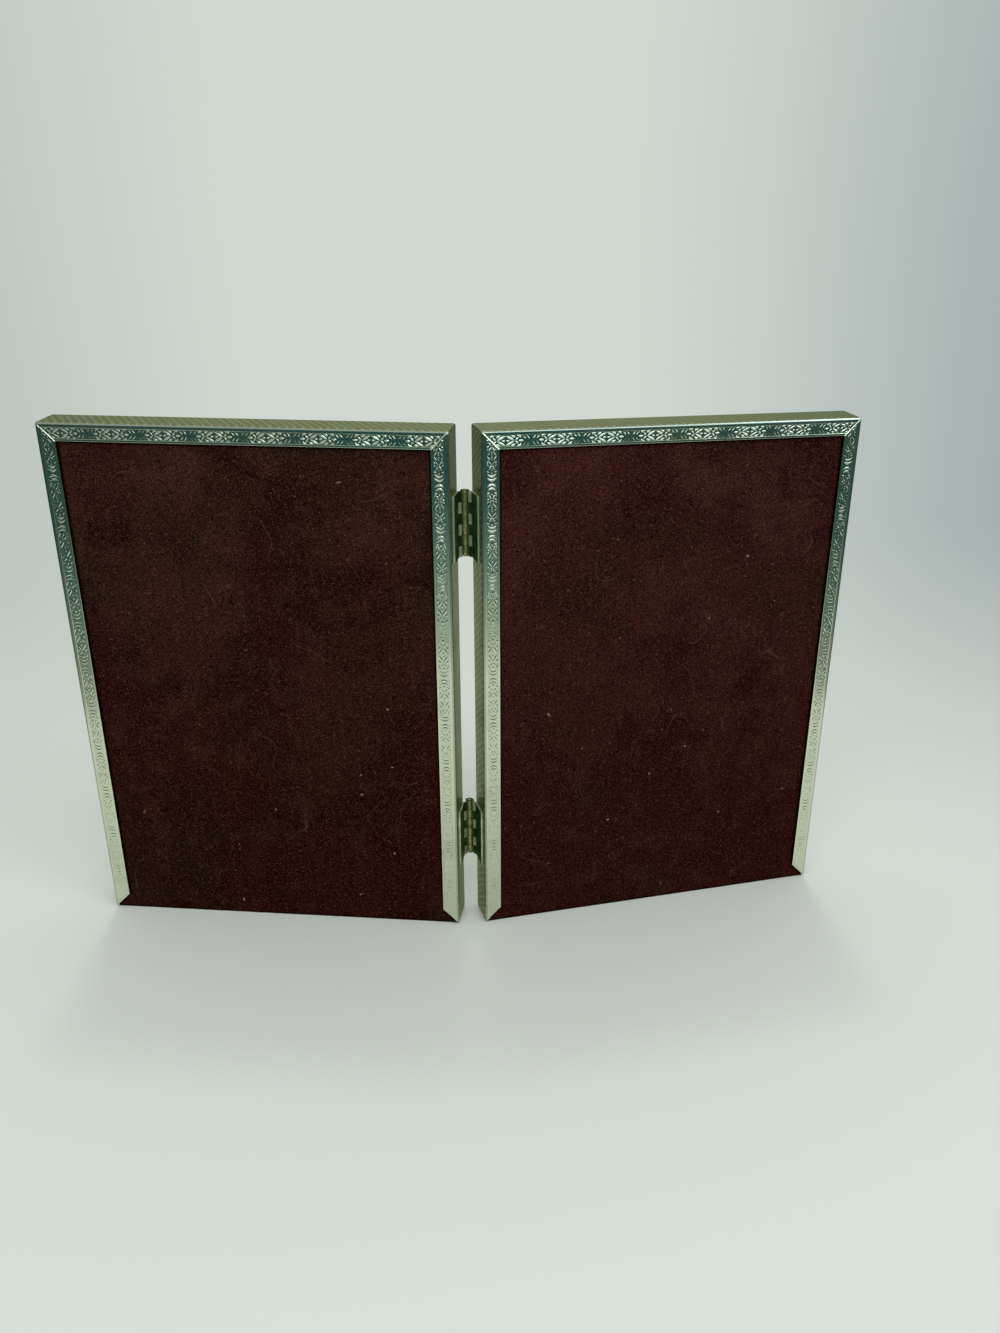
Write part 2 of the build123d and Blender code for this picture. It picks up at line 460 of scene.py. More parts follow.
def strip_finish(name, clean, dirt, rough, hatched=False, glance=(1, 1, 1, 1)):
    """Stained and pitted metal, rubbed along the strip, and hatched where that is asked for."""
    graph = Finish(name)
    place = graph.place()
    strip = graph.node("ShaderNodeUVMap", {"uv_map": "strip"})
    clouds = graph.noise(place, 60, detail=4)
    specks = graph.noise(place, 900)
    stain = graph.step(clouds, 0.48, 0.80)
    pits = graph.step(specks, 0.74, 0.80)
    rubbed = graph.noise(graph.stretch(strip, (0.15, 6, 1)), 1.0, detail=3)
    colour = graph.mix(stain * 0.55, clean, dirt)
    colour = graph.mix(pits * 0.6, colour, grime)
    roughness = rough + 0.10 * stain + 0.12 * (rubbed - 0.5)
    height = specks * 0.15 + rubbed * 0.35
    if hatched:
        slanted = graph.stretch(strip, (1 / hatch_pitch, 0.05, 1), turn=hatch_slant)
        line = graph.node("ShaderNodeTexWave", {"bands_direction": "X"}, {
            "Vector": slanted,
            "Scale": one_wave,
            "Distortion": 1.5,
            "Detail": 2.0,
            "Detail Scale": 2.0,
        }, out="Fac")
        drawn_out = graph.stretch(strip, (2.4, 0.10, 1), turn=hatch_slant)
        brushed = graph.noise(drawn_out, 1.0, detail=3)
        colour = graph.mix(graph.step(brushed, 0.40, 0.60) * 0.6, colour, dirt)
        colour = graph.mix(graph.step(line, 0.55, 0.95) * 0.55, colour, hatch_glint)
        roughness = roughness + 0.10 * brushed
        height = height + line * 2.0 + brushed * 0.8
    return graph.coat({
        "Base Color": colour,
        "Metallic": 1.0,
        "Roughness": roughness,
        "Specular Tint": glance,
        "Normal": graph.bump(height, 0.006 * MM, 0.6),
    })


strip_metals = [
    strip_finish("bright_lip", champagne, tarnish, 0.16),
    # The ground is a little darker than the lip: painted shade in its recess.
    strip_finish("shaded_border_ground", (0.68, 0.71, 0.53, 1), tarnish, 0.18),
    strip_finish(
        "hatched_edge", (0.37, 0.37, 0.21, 1), (0.24, 0.25, 0.13, 1), 0.30,
        hatched=True, glance=(0.54, 0.57, 0.48, 1),
    ),
    # The bend is darker and duller: painted shade that dims the highlight along it.
    strip_finish("shaded_rolled_bend", (0.44, 0.51, 0.44, 1), (0.32, 0.37, 0.29, 1), 0.20),
]
LIP, GROUND, EDGE, BEND = range(len(strip_metals))
crest_metal = strip_finish("border_crest", (0.71, 0.76, 0.62, 1), tarnish, 0.13)
print("strip finishes:", ", ".join(metal.name for metal in (*strip_metals, crest_metal)))

# %% [markdown]
# ## The moulded strip
# On the bench this is one roll-formed strip, sawn at 45 degrees and folded round the glass.
# Extruding a drawn outline gives clean long faces: each point of the outline runs as far as the
# mitre lets it, which is its own distance from the outer edge. The web leans in a little towards
# the back. It is folded, so its corners are rounded. The lips are sawn, and a small chamfer on them
# makes the groove that catches the light.

# %% Draw the section of the strip
gauge = 0.6 * MM
bend = 0.8 * MM
inner_bend = 0.2 * MM
web_lean = 0.45 * MM
plain_edge = 1.98 * MM
ground_drop = 0.12 * MM
ground_start = 2.10 * MM
ground_end = 5.50 * MM
rim_start = 5.60 * MM
saw_width = 0.25 * MM
saw_drop = 0.115 * MM
corner_round = 0.7 * MM
hold = 0.12 * MM
cut_round = 0.15 * MM
bend_steps = 8
inner_steps = 2
cut_steps = 4


def arc(centre, radius, start, end, steps):
    """Points on part of a circle, both ends included."""
    angles = [radians(start + (end - start) * i / steps) for i in range(steps + 1)]
    return [(centre[0] + radius * cos(a), centre[1] + radius * sin(a)) for a in angles]


def lip_outline(web):
    """One lip, from the outside of the web round its rolled edge to the inside of the web.

    Each point is its distance in from the strip's outer edge and its depth under the lip's face.
    A point close to each end of the bend holds the flat faces flat under smooth shading.
    """
    bend_centre = (web + bend, bend)
    return [
        (web, bend + hold),
        *arc(bend_centre, bend, 180, 270, bend_steps),
        (web + bend + hold, 0),
        (plain_edge, 0),
        (ground_start, ground_drop),
        (ground_end, ground_drop),
        (rim_start, 0),
        *arc((lip_width - cut_round, cut_round), cut_round, 270, 360, cut_steps),
        *arc((lip_width - cut_round, gauge - cut_round), cut_round, 0, 90, cut_steps),
        *arc(bend_centre, inner_bend, 270, 180, inner_steps),
    ]


def channel_outline():
    """The section of a rail with two lips: distance in from its edge, and depth from the front."""
    back = [(inward, leaf_depth - under) for inward, under in lip_outline(web_lean)]
    return back + lip_outline(0)[::-1]


def angle_outline():
    """The section of the bottom rail, whose leaning web stops short of the sliding back."""
    end = web_lean * angle_depth / leaf_depth
    return [(end, angle_depth), (end + gauge, angle_depth)] + lip_outline(0)[::-1]


print("points in a section:", len(channel_outline()), "or", len(angle_outline()))

# %% Extrude the strip with mitred ends
# The hatching reaches half way round the bend, and the bend's finish from there to the lip
edge_reach = web_lean + 0.3 * bend
edge_start = 0.27 * bend
bend_reach = web_lean + bend + hold / 2
# The rings at each end: how far the corner has turned, and how much further in the ring lies
end_rings = ((45, 0), (67.5, 0), (90, 0), (90, hold))
weld = 0.001 * MM


def outline_shares(outline):
    """How far each point faces out of the web, and out of a lip (signed by the depth)."""
    middle = max(depth for _, depth in outline) / 2
    shares = []
    neighbours = zip([outline[-1], *outline[:-1]], outline, [*outline[1:], outline[0]])
    for before, point, after in neighbours:
        along = Vector((after[0] - before[0], after[1] - before[1])).normalized()
        outward = along.x if along.x * (point[1] - middle) > 0 else 0
        shares.append((max(0, along.y), outward))
    return shares


def face_finish(*points):
    """Which of the strip's finishes the face between two points of the outline has."""
    if all(x < edge_reach and edge_start < z < leaf_depth - edge_start for x, z in points):
        return EDGE
    if all(x < bend_reach and min(z, leaf_depth - z) < bend for x, z in points):
        return BEND
    return GROUND if all(x in (ground_start, ground_end) for x, _ in points) else LIP


def strip_rings(shape, outline, length):
    """The rings of points from one mitred end of a strip to the other.

    The last ring at each end lies close to the one before, and keeps the long faces flat.
    """
    starts, ends = [], []
    for turn, held in end_rings:
        web_pull = corner_round * (1 - cos(radians(turn)))
        web_drop = corner_round * (1 - sin(radians(turn)))
        lip_pull = saw_width * (turn - 45) / 45
        lip_drop = saw_drop * (90 - turn) / 45
        start, end = [], []
        for (inward, depth), (web, lip) in zip(outline, outline_shares(outline)):
            along = inward + web * web_pull + abs(lip) * lip_pull + held
            section = (inward + web * web_drop, depth - lip * lip_drop)
            start.append(shape.verts.new((along, *section)))
            end.append(shape.verts.new((length - along, *section)))
        starts.append(start)
        ends.insert(0, end)
    return starts + ends


def strip_mesh(outline, length, hand):
    """A mitred length of strip along x, with y in from the web and z from front to back."""
    shape = bmesh.new()
    strip = shape.loops.layers.uv.new("strip")
    rings = strip_rings(shape, outline, length)
    run = [0.0]
    for (a, d), (b, e) in zip(outline, outline[1:] + outline[:1]):
        run.append(run[-1] + Vector((b - a, e - d)).length)
    count = len(outline)
    for first, second in zip(rings, rings[1:]):
        for i in range(count):
            j = (i + 1) % count
            face = shape.faces.new((first[i], first[j], second[j], second[i]))
            face.material_index = face_finish(outline[i], outline[j])
            for loop, over in zip(face.loops, (run[i], run[i + 1], run[i + 1], run[i])):
                loop[strip].uv = (hand * loop.vert.co.x / MM, over / MM)
    shape.faces.new(rings[0])
    shape.faces.new(rings[-1][::-1])
    bmesh.ops.remove_doubles(shape, verts=shape.verts, dist=weld)
    bmesh.ops.recalc_face_normals(shape, faces=shape.faces)
    return shape


def edge_matrix(edge):
    """From a strip's directions to the leaf's, for one of the four edges of the leaf."""
    corner, along, inward = {
        "bottom_rail": ((0, 0, 0), (1, 0, 0), (0, 1, 0)),
        "outer_stile": ((leaf_width, 0, 0), (0, 1, 0), (-1, 0, 0)),
        "top_rail": ((leaf_width, leaf_height, 0), (-1, 0, 0), (0, -1, 0)),
        "inner_stile": ((0, leaf_height, 0), (0, -1, 0), (1, 0, 0)),
    }[edge]
    axes = Matrix((along, inward, (0, 0, 1))).transposed().to_4x4()
    return Matrix.Translation(corner) @ axes


def edge_length(edge):
    """How long the strip along one edge of the leaf is."""
    return leaf_width if edge.endswith("rail") else leaf_height


def add_piece(name, shape, finishes, body, slot, *replaced, sharp=28):
    """Make a bmesh a piece that rides on a body, smooth but for edges of that many degrees."""
    mesh = bpy.data.meshes.new(name)
    shape.to_mesh(mesh)
    shape.free()
    for finish in finishes:
        mesh.materials.append(finish)
    mesh.shade_smooth()
    mesh.set_sharp_from_angle(angle=radians(sharp))
    piece = add_object(name, mesh)
    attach(piece, body)
    if replaced:
        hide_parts(*replaced)
    return piece


edges = ("top_rail", "outer_stile", "inner_stile", "bottom_rail")
for leaf in leaves:
    for edge in edges:
        outline = angle_outline() if edge == "bottom_rail" else channel_outline()
        shape = strip_mesh(outline, edge_length(edge), leaf.hand)
        shape.transform(edge_matrix(edge))
        leaf.place(shape)
        node = f"{leaf.side}_{edge}"
        add_piece(f"{node}_strip", shape, strip_metals, leaf.body, "channel_metal", node)
print("strips:", len(leaves) * len(edges))

# %% [markdown]
# ## The embossed border
# A roller pressed the same traditional motif into the strip again and again: a lozenge, crossed
# leaves, curls, and two arcs that close the repeat. A height map on a dense mesh could do this, but
# it would be heavy and soft. Here each stroke is a short curve set by three points. Geometry Nodes
# sweep a ridge with sloping sides along the strokes and repeat the motif down the strip.

# %% Draw the strokes of the motif
repeat_wanted = 16.5 * MM
stroke_steps = 6
tip_share = 0.22
# Three control points in mm from the middle of the lozenge, and the stroke's width
mirrored_four_ways = [
    ((0.10, 1.46), (1.35, 0.92), (2.75, 0.05), 0.80),
    ((3.00, 0.10), (3.60, 0.45), (4.25, 1.10), 0.62),
    ((1.75, 1.50), (2.55, 1.38), (3.15, 0.95), 0.70),
    ((3.60, 1.52), (5.05, 1.65), (4.95, 0.72), 0.64),
]
mirrored_end_to_end = [
    ((0.20, 0.0), (0.65, 0.0), (1.20, 0.0), 0.60),
    ((4.20, 0.0), (4.95, 0.0), (5.75, 0.0), 0.74),
    ((5.50, 1.45), (7.35, 0.0), (5.50, -1.45), 0.70),
    ((6.75, 1.52), (8.45, 0.0), (6.75, -1.52), 0.76),
]


def motif_strokes():
    """Every stroke of one repeat, as points with a radius that tapers to both ends."""
    drawn = []
    for *points, width in mirrored_four_ways:
        for flip_x, flip_y in ((1, 1), (1, -1), (-1, 1), (-1, -1)):
            drawn.append(([(flip_x * x, flip_y * y) for x, y in points], width))
    for *points, width in mirrored_end_to_end:
        for flip_x in (1, -1):
            drawn.append(([(flip_x * x, y) for x, y in points], width))
    curve = bpy.data.curves.new("motif_strokes", "CURVE")
    curve.dimensions = "3D"
    for controls, width in drawn:
        spline = curve.splines.new("POLY")
        spline.points.add(stroke_steps)
        for i, point in enumerate(spline.points):
            t = i / stroke_steps
            shares = ((1 - t) ** 2, 2 * t * (1 - t), t ** 2)
            x, y = (sum(s * p[k] for s, p in zip(shares, controls)) for k in range(2))
            point.co = (x * MM, y * MM, 0, 1)
            point.radius = width * (tip_share + (1 - tip_share) * sin(pi * t))
    return add_object("motif_strokes", curve)

# %% Build the Geometry Nodes tree
relief_share = 0.20
crest_share = 0.15


def border_sockets(tree):
    """Give the tree its inputs and its output. The result has the inputs' identifiers by name."""
    identifiers = {}
    for name, kind in (
        ("Strokes", "NodeSocketObject"),
        ("Repeats", "NodeSocketInt"),
        ("Pitch", "NodeSocketFloat"),
        ("Stroke unit", "NodeSocketFloat"),
        ("Relief share", "NodeSocketFloat"),
        ("Crest share", "NodeSocketFloat"),
        ("Finish", "NodeSocketMaterial"),
    ):
        made = tree.interface.new_socket(name, in_out="INPUT", socket_type=kind)
        identifiers[name] = made.identifier
    tree.interface.new_socket("Geometry", in_out="OUTPUT", socket_type="NodeSocketGeometry")
    return identifiers


def border_tree():
    """Sweep a ridge with a narrow crest along the strokes and repeat the motif along x.

    In the sweep the section's y points down, so that its bottom becomes the crest.
    """
    tree = bpy.data.node_groups.new("embossed_border", "GeometryNodeTree")
    graph = Graph(tree)
    sockets = border_sockets(tree)
    given = graph.node("NodeGroupInput").socket.node.outputs

    def wire(name):
        return Wire(graph, given[name])

    drawing = {"Object": wire("Strokes")}
    strokes = graph.node("GeometryNodeObjectInfo", None, drawing, out="Geometry")
    strokes = graph.node("GeometryNodeSetCurveNormal", {"mode": "Z_UP"}, {"Curve": strokes})
    relief = wire("Stroke unit") * wire("Relief share")
    section = graph.node("GeometryNodeCurvePrimitiveQuadrilateral", {"mode": "TRAPEZOID"}, {
        "Height": relief,
        "Bottom Width": wire("Stroke unit") * wire("Crest share"),
        "Top Width": wire("Stroke unit"),
        "Offset": 0.0,
    })
    lift = graph.node("ShaderNodeCombineXYZ", None, {"Y": relief * -0.5})
    section = graph.node("GeometryNodeTransform", None, {"Geometry": section, "Translation": lift})
    ridges = graph.node("GeometryNodeCurveToMesh", None, {
        "Curve": strokes,
        "Profile Curve": section,
        "Scale": graph.node("GeometryNodeInputRadius"),
        "Fill Caps": True,
    })
    start = graph.node("ShaderNodeCombineXYZ", None, {"X": wire("Pitch") * 0.5})
    pitch = graph.node("ShaderNodeCombineXYZ", None, {"X": wire("Pitch")})
    row = graph.node("GeometryNodeMeshLine", {"mode": "OFFSET"}, {
        "Count": wire("Repeats"),
        "Start Location": start,
        "Offset": pitch,
    })
    copies = {"Points": row, "Instance": ridges}
    repeated = graph.node("GeometryNodeInstanceOnPoints", None, copies)
    solid = graph.node("GeometryNodeRealizeInstances", None, {"Geometry": repeated})
    coated = {"Geometry": solid, "Material": wire("Finish")}
    dressed = graph.node("GeometryNodeSetMaterial", None, coated)
    graph.node("NodeGroupOutput", None, {0: dressed})
    return tree, sockets

# %% Press the border into each strip
sunk = 0.02 * MM
strokes = motif_strokes()
border_nodes, border_inputs = border_tree()


def motif_row(length):
    """The motif repeated over a length along x, as a bmesh."""
    repeats = round(length / repeat_wanted)
    holder = add_object("border_run", bpy.data.meshes.new("border_run"))
    modifier = holder.modifiers.new("border", "NODES")
    modifier.node_group = border_nodes
    for name, value in (
        ("Strokes", strokes),
        ("Repeats", repeats),
        ("Pitch", length / repeats),
        ("Stroke unit", MM),
        ("Relief share", relief_share),
        ("Crest share", crest_share),
        ("Finish", crest_metal),
    ):
        modifier[border_inputs[name]] = value
    evaluated = holder.evaluated_get(bpy.context.evaluated_depsgraph_get())
    mesh = bpy.data.meshes.new_from_object(evaluated)
    holder.modifiers.remove(modifier)
    bpy.data.objects.remove(holder)
    shape = bmesh.new()
    shape.from_mesh(mesh)
    bpy.data.meshes.remove(mesh)
    return shape


def border_run(length):
    """The border of one strip as a plain mesh along x, trimmed at both mitres."""
    shape = motif_row(length)
    middle = (ground_start + ground_end) / 2
    bmesh.ops.translate(shape, vec=(0, middle, 0), verts=shape.verts)
    for corner, away in ((saw_width, -1), (length - saw_width, 1)):
        bmesh.ops.bisect_plane(
            shape,
            geom=[*shape.verts, *shape.edges, *shape.faces],
            plane_co=(corner, 0, 0),
            plane_no=(away, 1, 0),
            clear_outer=True,
        )
    open_edges = [edge for edge in shape.edges if edge.is_boundary]
    bmesh.ops.holes_fill(shape, edges=open_edges, sides=0)
    bmesh.ops.recalc_face_normals(shape, faces=shape.faces)
    run = bpy.data.meshes.new("border_run")
    shape.to_mesh(run)
    shape.free()
    return run


def lip_matrices(edge):
    """From a border run to the back lip and the front lip of one edge, as plain turns."""
    length = edge_length(edge)
    back_lip = edge_matrix(edge) @ Matrix.Translation((0, 0, leaf_depth - ground_drop - sunk))
    half_turn = Matrix.Translation((length, 0, ground_drop + sunk)) @ Matrix.Rotation(pi, 4, "Y")
    front_lip = edge_matrix(edge) @ half_turn
    return [front_lip] if edge == "bottom_rail" else [back_lip, front_lip]


runs = {length: border_run(length) for length in (leaf_width, leaf_height)}
for leaf in leaves:
    shape = bmesh.new()
    for edge in edges:
        for matrix in lip_matrices(edge):
            copy = runs[edge_length(edge)].copy()
            copy.transform(matrix)
            shape.from_mesh(copy)
            bpy.data.meshes.remove(copy)
    leaf.place(shape)
    name = f"{leaf.side}_embossed_border"
    border = add_piece(name, shape, [crest_metal], leaf.body, "channel_metal")
    print(leaf.side, "border faces:", len(border.data.polygons))
bpy.data.objects.remove(strokes)

# %% [markdown]
# ## Velvet backs
# A velvet facing is glued over the sliding board. It lies nearly flat, but the glue and years of
# handling leave it a little uneven, and its cut edge is rounded by the nap. So the sheet is a grid
# with a slight ripple that drops at its rim, over a flat underside. The nap itself is in the
# finish: dark pits and light fibres, browner and redder patches, rubbed places and some lint. The
# cloth is paler above and darker and redder towards the foot. A thin line of painted shade runs
# along the lips, their mitred feet and the foot of the sheet.

# %% Mix the velvet's colours
brown_tint = srgb(39, 24, 14)
red_tint = srgb(44, 11, 12)
pit_colour = srgb(7, 1, 1)
fibre_colour = srgb(83, 51, 41)
speck_colour = srgb(108, 74, 58)
lint_colour = srgb(140, 116, 104)
shade_colour = srgb(6, 2, 2)
sheen_colour = srgb(150, 90, 80)
# Heights in mm where the paler upper tone begins and is complete, and how far its start wavers
upper_tone_from = (20, 160)
upper_tone_waver = 110
# How far a point lies from a mitre, as a share of the difference of its two coordinates
mitre_share = 0.7


def cloth_colour(graph, place, upward, upper_tone, foot_tone, deep):
    """Darker and redder at the foot and paler above, with darker, browner and redder patches."""
    blotches = graph.noise(place, 110, detail=3, roughness=0.6)
    patches = graph.noise(place, 26, detail=4, roughness=0.6)
    tints = graph.noise(place, 19)
    toward_upper = graph.step(upward + upper_tone_waver * (patches - 0.5), *upper_tone_from)
    colour = graph.mix(toward_upper, foot_tone, upper_tone)
    colour = graph.mix(graph.step(patches, 0.42, 0.60) * 0.8, colour, deep)
    colour = graph.mix(graph.step(blotches, 0.45, 0.70) * 0.5, colour, upper_tone)
    colour = graph.mix(graph.step(tints, 0.50, 0.64) * 0.6, colour, brown_tint)
    return graph.mix(graph.step(tints, 0.50, 0.36) * 0.6, colour, red_tint)


def pile_colour(graph, place, cloth, nap, tufts):
    """The cloth with dark pits, light fibres, bright specks, hairs and lint."""
    pits = graph.step(tufts, 0.50, 0.34)
    fibres = graph.step(nap * 0.4 + tufts * 0.6, 0.53, 0.64)
    specks = graph.step(graph.noise(place, 2300, detail=0), 0.70, 0.80)
    waves = graph.noise(place, 42, detail=1)
    thread = 1 - graph.step(graph.math("ABSOLUTE", waves - 0.5), 0.001, 0.005)
    hairs = thread * graph.step(graph.noise(place, 60, detail=0), 0.60, 0.70)
    lint = graph.step(graph.noise(place, 520, detail=0), 0.86, 0.90)
    colour = graph.mix(pits * 0.85, cloth, pit_colour)
    colour = graph.mix(fibres * 0.65, colour, fibre_colour)
    colour = graph.mix(specks * 0.6, colour, speck_colour)
    return graph.mix(hairs * 0.10 + lint * 0.7, colour, lint_colour)


def lip_shade(graph, across, upward):
    """1 in a thin line of painted shade along the lips, their mitred feet and the foot of the
    sheet.
    """
    side = graph.math("MINIMUM", across, leaf_width / MM - across)
    beside = graph.math("MAXIMUM", side - lip_width / MM, (side - upward) * mitre_share)
    covered = graph.math("MINIMUM", beside, (leaf_height - lip_width) / MM - upward)
    return 1 - graph.step(covered, 0.2, 1.1) * graph.step(upward, 0.2, 1.0)

# %% Finish the velvet
def velvet_finish(name, upper_tone, foot_tone, deep, shift):
    """Matt cloth, whose patches lie elsewhere for each shift of the coordinates."""
    graph = Finish(name)
    place = graph.stretch(graph.place(), (1, 1, 1), shift=shift)
    sheet = graph.node("ShaderNodeUVMap", {"uv_map": "sheet"})
    across = graph.part(sheet, "X")
    upward = graph.part(sheet, "Y")
    nap = graph.noise(place, 3400, roughness=0.6)
    tufts = graph.noise(place, 1900, roughness=0.6)
    cloth = cloth_colour(graph, place, upward, upper_tone, foot_tone, deep)
    pile = pile_colour(graph, place, cloth, nap, tufts)
    return graph.coat({
        # Painted shade darkens the velvet in a thin line along the lips and the foot.
        "Base Color": graph.mix(lip_shade(graph, across, upward) * 0.85, pile, shade_colour),
        "Roughness": 0.95,
        "Specular IOR Level": 0.02,
        "Sheen Weight": 0.02,
        "Sheen Roughness": 0.5,
        "Sheen Tint": sheen_colour,
        "Normal": graph.bump(nap * 0.5 + tufts * 0.8, 0.20 * MM, 0.7),
    })


velvets = {
    "left": velvet_finish(
        "velvet_left", srgb(56, 33, 25), srgb(35, 4, 2), srgb(25, 8, 4), (0, 0, 0)
    ),
    "right": velvet_finish(
        "velvet_right", srgb(60, 29, 25), srgb(46, 12, 10), srgb(30, 8, 7), (3, 1, 2)
    ),
}
print("velvet finishes:", ", ".join(velvet.name for velvet in velvets.values()))

# %% Lay the velvet sheets
velvet_grid = 2.0 * MM
ripple = 0.10 * MM
ripple_length = 28 * MM
rim_round = 0.45 * MM


def grid_lines(length):
    """Where the grid's lines lie along one side, with one more close to each end."""
    count = round(length / velvet_grid)
    inner = [length * i / count for i in range(1, count)]
    return [0, rim_round / 2, *inner, length - rim_round / 2, length]


def velvet_shape(low, high):
    """A sheet with a slightly uneven face and a rounded rim over a flat underside."""
    width, height = high.x - low.x, high.y - low.y
    shape = bmesh.new()
    grid = []
    for y in grid_lines(height):
        line = []
        for x in grid_lines(width):
            rim = min(x, width - x, y, height - y)
            fall = rim_round * max(0, 1 - rim / rim_round) ** 2
            wave = ripple * noise.noise(Vector((low.x + x, low.y + y, low.z)) / ripple_length)
            top = high.z - ripple - fall + wave * min(1, rim / velvet_grid)
            line.append(shape.verts.new((low.x + x, low.y + y, top)))
        grid.append(line)
    for below, above in zip(grid, grid[1:]):
        for a, b, c, d in zip(below, below[1:], above[1:], above):
            shape.faces.new((a, b, c, d))
    right = [line[-1] for line in grid[1:]]
    top = grid[-1][-2::-1]
    left = [line[0] for line in grid[-2:0:-1]]
    rim_loop = [*grid[0], *right, *top, *left]
    under = [shape.verts.new((v.co.x, v.co.y, low.z)) for v in rim_loop]
    count = len(rim_loop)
    for i in range(count):
        j = (i + 1) % count
        shape.faces.new((rim_loop[j], rim_loop[i], under[i], under[j]))
    shape.faces.new(under[::-1])
    bmesh.ops.recalc_face_normals(shape, faces=shape.faces)
    sheet = shape.loops.layers.uv.new("sheet")
    for face in shape.faces:
        for loop in face.loops:
            loop[sheet].uv = loop.vert.co.xy / MM
    return shape


for leaf in leaves:
    low, high = leaf.span("back_velvet")
    shape = velvet_shape(low, high)
    leaf.place(shape)
    back = f"{leaf.side}_back"
    finishes = [velvets[leaf.side]]
    name = f"{leaf.side}_velvet"
    velvet = add_piece(name, shape, finishes, back, "velvet", f"{back}_velvet", sharp=60)
    flat = (high.x - low.x, high.y - low.y)
    print(leaf.side, "velvet cut to", [round(v / MM, 1) for v in flat], "mm")

# %% [markdown]
# ## Hinges
# The hinges are thin brass, rolled round a pin, and long out of reach of polish, so they have gone
# green and brown. Their CAD solids have the right shape but knife-sharp edges. A copy with its
# triangles merged takes a small bevel, which gives the edges the bright lines that worn metal has.
# Each plate leans with the web that it is riveted to. Its flat face and the ends of the knuckles
# are dark green, partly tarnish and partly painted shade. The knuckles are rubbed, and the edges
# and the straps between are paler, partly rubbed wear and partly painted highlight.

# %% Finish the hinges
hinge_grime = (0.05, 0.06, 0.03, 1)


def hinge_finish(name, bright, tarnished, rough, metallic, glance=(1, 1, 1, 1)):
    """Brass with clouds of tarnish and dark grains."""
    graph = Finish(name)
    place = graph.place()
    clouds = graph.noise(place, 220, detail=4)
    grains = graph.noise(place, 1400)
    green = graph.step(clouds, 0.38, 0.62)
    colour = graph.mix(green, bright, tarnished)
    colour = graph.mix(graph.step(grains, 0.62, 0.72) * 0.6, colour, hinge_grime)
    return graph.coat({
        "Base Color": colour,
        "Metallic": metallic,
        "Roughness": rough + 0.10 * green,
        "Specular Tint": glance,
        "Normal": graph.bump(grains, 0.01 * MM, 0.5),
    })


# The plate's dark green is partly tarnish and partly painted shade. The rubbed edge and the strap
# are paler, partly wear and partly painted highlight.
hinge_metals = [
    hinge_finish("hinge_knuckle", (0.50, 0.48, 0.20, 1), (0.31, 0.33, 0.13, 1), 0.38, 0.85),
    hinge_finish(
        "hinge_plate_tarnish_and_shade", (0.075, 0.150, 0.058, 1), (0.032, 0.082, 0.026, 1), 0.46, 0.80,
        glance=(0.45, 0.66, 0.40, 1),
    ),
    hinge_finish("hinge_edge_wear_and_highlight", (0.60, 0.64, 0.45, 1), (0.44, 0.50, 0.32, 1), 0.36, 1.0),
    hinge_finish("hinge_strap_wear_and_highlight", (0.58, 0.62, 0.41, 1), (0.38, 0.44, 0.27, 1), 0.40, 0.25),
]
KNUCKLE, PLATE, WORN_AND_LIT, STRAP = range(len(hinge_metals))
print("hinge finishes:", ", ".join(metal.name for metal in hinge_metals))

# %% Bevel the hinges and lean their plates on the webs
edge_round = 0.07 * MM
solid_weld = 0.0005 * MM
flat_turn = radians(1)
sharp_turn = radians(35)
barrel_reach = 1.10 * MM
strap_start = 1.40 * MM
crank_end = 2.45 * MM
flat_share = 0.9
end_share = 0.5
knuckle_count = 6


def bevelled_copy(node):
    """A CAD node's mesh with its triangles merged and its sharp edges rounded."""
    shape = bmesh.new()
    shape.from_mesh(frame["nodes"][node].data)
    bmesh.ops.remove_doubles(shape, verts=shape.verts, dist=solid_weld)
    bmesh.ops.dissolve_limit(shape, angle_limit=flat_turn, verts=shape.verts, edges=shape.edges)
    folds = [edge for edge in shape.edges if edge.is_manifold]
    bmesh.ops.bevel(
        shape,
        geom=[edge for edge in folds if edge.calc_face_angle() > sharp_turn],
        offset=edge_round,
        segments=2,
        profile=0.5,
        affect="EDGES",
        clamp_overlap=True,
    )
    bmesh.ops.recalc_face_normals(shape, faces=shape.faces)
    return shape


def split_crank(shape, leaf, low, pitch):
    """Cut the faces of the crank at every knuckle, so that each strap can have its own finish."""
    up, back = Vector((0, 1, 0)), Vector((0, 0, 1))
    planes = [((low + pitch * i) * up, up) for i in range(1, knuckle_count)]
    planes.append((strap_start * back, back))
    for point, normal in planes:
        bmesh.ops.bisect_plane(
            shape,
            geom=[*shape.verts, *shape.edges, *shape.faces],
            plane_co=leaf.matrix @ point,
            plane_no=leaf.matrix.to_3x3() @ normal,
        )


